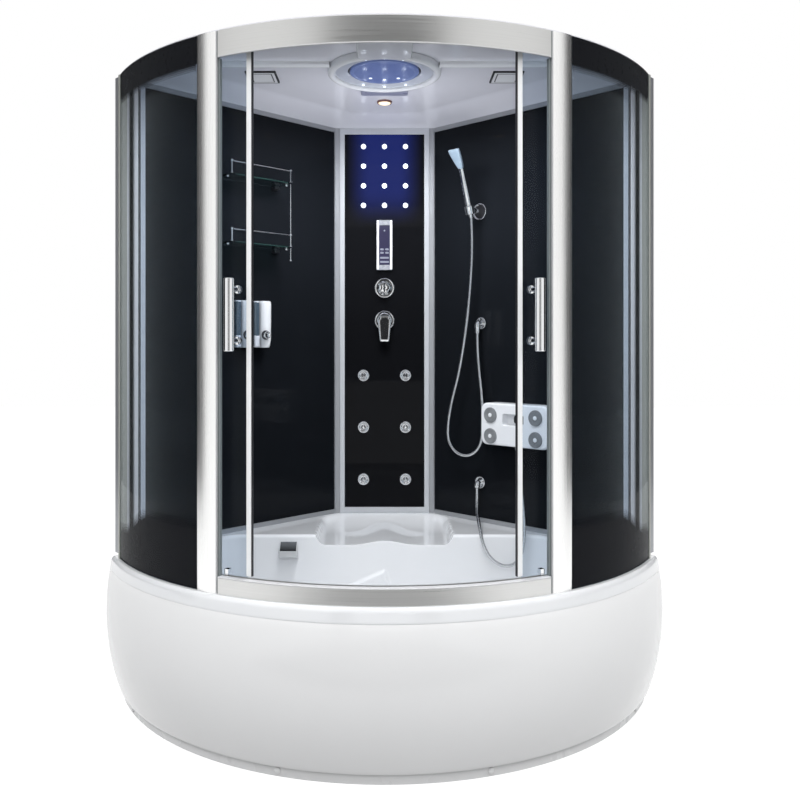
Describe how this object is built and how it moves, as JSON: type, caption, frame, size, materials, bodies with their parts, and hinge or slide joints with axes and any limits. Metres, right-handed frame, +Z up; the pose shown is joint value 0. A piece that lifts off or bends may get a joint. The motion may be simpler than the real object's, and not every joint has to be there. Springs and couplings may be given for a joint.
{
  "type": "corner shower cabin with bathtub",
  "caption": "Corner shower cabin over a bathtub: curved sliding glass doors, black glass walls, column with mixer and jets, overhead shower ring, handset and hose.",
  "frame": {"origin": "on the floor under the middle of the object's box", "axes": "+Z up, +Y from the curved front towards the room's corner, +X to the right seen from the front"},
  "size_m": [1.9658, 1.4759, 2.257],
  "materials": {
    "acrylic": "gloss",
    "skirt": "gloss",
    "plinth": "gloss",
    "steel_frame": "matte",
    "foot_steel": "satin",
    "satin_aluminium": "satin",
    "side_glass": "gloss",
    "door_glass": "gloss",
    "black_glass": "gloss",
    "roof": "gloss",
    "shower_ring": "gloss",
    "roof_fittings": "satin",
    "lens": "gloss",
    "control": "satin",
    "chrome": "mirror",
    "hose": "satin",
    "panel": "satin",
    "pads": "matte",
    "shelf_glass": "gloss",
    "dispenser": "gloss",
    "seal": "satin",
    "wheel": "matte",
    "pipe": "satin",
    "drain": "matte",
    "power": "matte"
  },
  "bodies": {
    "cabin": {"bottom_rail": "satin_aluminium", "column_frame": "satin_aluminium", "column_glass": "black_glass", "control_unit": "control", "door_posts": "satin_aluminium", "drain_fitting": "drain", "escutcheons": "chrome", "fixed_glass_left": "side_glass", "fixed_glass_right": "side_glass", "handset_holder": "chrome", "hose_elbows": "chrome", "led_lenses": "lens", "leveling_feet": "foot_steel", "massage_hose": "hose", "massage_pads": "pads", "massage_panel": "panel", "plinth_strip": "plinth", "power_unit": "power", "rain_head": "shower_ring", "rear_jambs": "satin_aluminium", "roof_fittings": "roof_fittings", "roof_shell": "roof", "shelf_plates": "shelf_glass", "shelf_rack": "chrome", "shower_hose": "hose", "soap_dispensers": "dispenser", "top_rail": "satin_aluminium", "tub_frame": "steel_frame", "tub_shell": "acrylic", "tub_skirt": "skirt", "wall_frames": "satin_aluminium", "wall_glass_left": "black_glass", "wall_glass_right": "black_glass", "water_manifold": "pipe", "waterfall_spout": "chrome"},
    "door_left": {"door_glass_left": "door_glass", "door_handle_left": "chrome", "door_seal_left": "seal", "door_hangers_left": "chrome"},
    "door_right": {"door_glass_right": "door_glass", "door_handle_right": "chrome", "door_seal_right": "seal", "door_hangers_right": "chrome"},
    "wheel_front_left": {"door_wheel_front_left": "wheel"},
    "wheel_rear_left": {"door_wheel_rear_left": "wheel"},
    "wheel_front_right": {"door_wheel_front_right": "wheel"},
    "wheel_rear_right": {"door_wheel_rear_right": "wheel"},
    "hand_shower": {"hand_shower": "chrome"},
    "mixer_cap": {"mixer_cap": "chrome"},
    "mixer_lever": {"mixer_lever": "chrome"},
    "diverter_knob": {"diverter_knob": "chrome"},
    "drain_plug": {"drain_plug": "chrome"},
    "dispenser_button_left": {"dispenser_button_left": "chrome"},
    "dispenser_button_right": {"dispenser_button_right": "chrome"},
    "jet_nozzle_1": {"jet_nozzle_1": "chrome"},
    "jet_nozzle_2": {"jet_nozzle_2": "chrome"},
    "jet_nozzle_3": {"jet_nozzle_3": "chrome"},
    "jet_nozzle_4": {"jet_nozzle_4": "chrome"},
    "jet_nozzle_5": {"jet_nozzle_5": "chrome"},
    "jet_nozzle_6": {"jet_nozzle_6": "chrome"}
  },
  "joints": [
    {"name": "door_left_slide", "type": "hinge", "parent": "cabin", "child": "door_left", "pos_m": [0, 0.362, 1.3], "axis": [0, 0, 1], "range_deg": [-1.2, 22.65]},
    {"name": "door_right_slide", "type": "hinge", "parent": "cabin", "child": "door_right", "pos_m": [0, 0.362, 1.3], "axis": [0, 0, -1], "range_deg": [-1.2, 22.65]},
    {"name": "wheel_front_left_spin", "type": "hinge", "parent": "door_left", "child": "wheel_front_left", "pos_m": [-0.46477, -0.56613, 2.1843], "axis": [0.4478, 0.8942, 0], "range_deg": [-130, 2450]},
    {"name": "wheel_rear_left_spin", "type": "hinge", "parent": "door_left", "child": "wheel_rear_left", "pos_m": [-0.81122, -0.28559, 2.1843], "axis": [0.7815, 0.6239, 0], "range_deg": [-130, 2450]},
    {"name": "wheel_front_right_spin", "type": "hinge", "parent": "door_right", "child": "wheel_front_right", "pos_m": [0.46477, -0.56613, 2.1843], "axis": [0.4478, -0.8942, 0], "range_deg": [-130, 2450]},
    {"name": "wheel_rear_right_spin", "type": "hinge", "parent": "door_right", "child": "wheel_rear_right", "pos_m": [0.81122, -0.28559, 2.1843], "axis": [0.7815, -0.6239, 0], "range_deg": [-130, 2450]},
    {"name": "hand_shower_lift", "type": "slide", "parent": "cabin", "child": "hand_shower", "axis": [-0.2185, -0.2185, 0.9511], "range_m": [0, 0.06]},
    {"name": "mixer_turn", "type": "hinge", "parent": "cabin", "child": "mixer_cap", "pos_m": [0, 0.59, 1.383], "axis": [0, -1, 0], "range_deg": [-45, 45]},
    {"name": "mixer_lift", "type": "hinge", "parent": "mixer_cap", "child": "mixer_lever", "pos_m": [0, 0.5504, 1.399], "axis": [-1, 0, 0], "range_deg": [0, 25]},
    {"name": "diverter_turn", "type": "hinge", "parent": "cabin", "child": "diverter_knob", "pos_m": [0, 0.59, 1.526], "axis": [0, -1, 0], "range_deg": [-144, 144]},
    {"name": "jet_1_tilt", "type": "hinge", "parent": "cabin", "child": "jet_nozzle_1", "pos_m": [-0.092, 0.587, 1.143], "axis": [1, 0, 0], "range_deg": [-12, 12]},
    {"name": "jet_2_tilt", "type": "hinge", "parent": "cabin", "child": "jet_nozzle_2", "pos_m": [0.092, 0.587, 1.143], "axis": [1, 0, 0], "range_deg": [-12, 12]},
    {"name": "jet_3_tilt", "type": "hinge", "parent": "cabin", "child": "jet_nozzle_3", "pos_m": [-0.092, 0.587, 0.916], "axis": [1, 0, 0], "range_deg": [-12, 12]},
    {"name": "jet_4_tilt", "type": "hinge", "parent": "cabin", "child": "jet_nozzle_4", "pos_m": [0.092, 0.587, 0.916], "axis": [1, 0, 0], "range_deg": [-12, 12]},
    {"name": "jet_5_tilt", "type": "hinge", "parent": "cabin", "child": "jet_nozzle_5", "pos_m": [-0.092, 0.587, 0.688], "axis": [1, 0, 0], "range_deg": [-12, 12]},
    {"name": "jet_6_tilt", "type": "hinge", "parent": "cabin", "child": "jet_nozzle_6", "pos_m": [0.092, 0.587, 0.688], "axis": [1, 0, 0], "range_deg": [-12, 12]},
    {"name": "dispenser_left_press", "type": "slide", "parent": "cabin", "child": "dispenser_button_left", "axis": [-0.7071, 0.7071, 0], "range_m": [0, 0.008], "stiffness_N_per_m": 300},
    {"name": "dispenser_right_press", "type": "slide", "parent": "cabin", "child": "dispenser_button_right", "axis": [-0.7071, 0.7071, 0], "range_m": [0, 0.008], "stiffness_N_per_m": 300},
    {"name": "drain_plug_lift", "type": "slide", "parent": "cabin", "child": "drain_plug", "axis": [0, 0, 1], "range_m": [0, 0.01]}
  ],
  "couplings": [
    {"joint": "wheel_front_left_spin", "follows": "door_left_slide", "ratio": 103.8},
    {"joint": "wheel_rear_left_spin", "follows": "door_left_slide", "ratio": 103.8},
    {"joint": "wheel_front_right_spin", "follows": "door_right_slide", "ratio": 103.8},
    {"joint": "wheel_rear_right_spin", "follows": "door_right_slide", "ratio": 103.8}
  ]
}
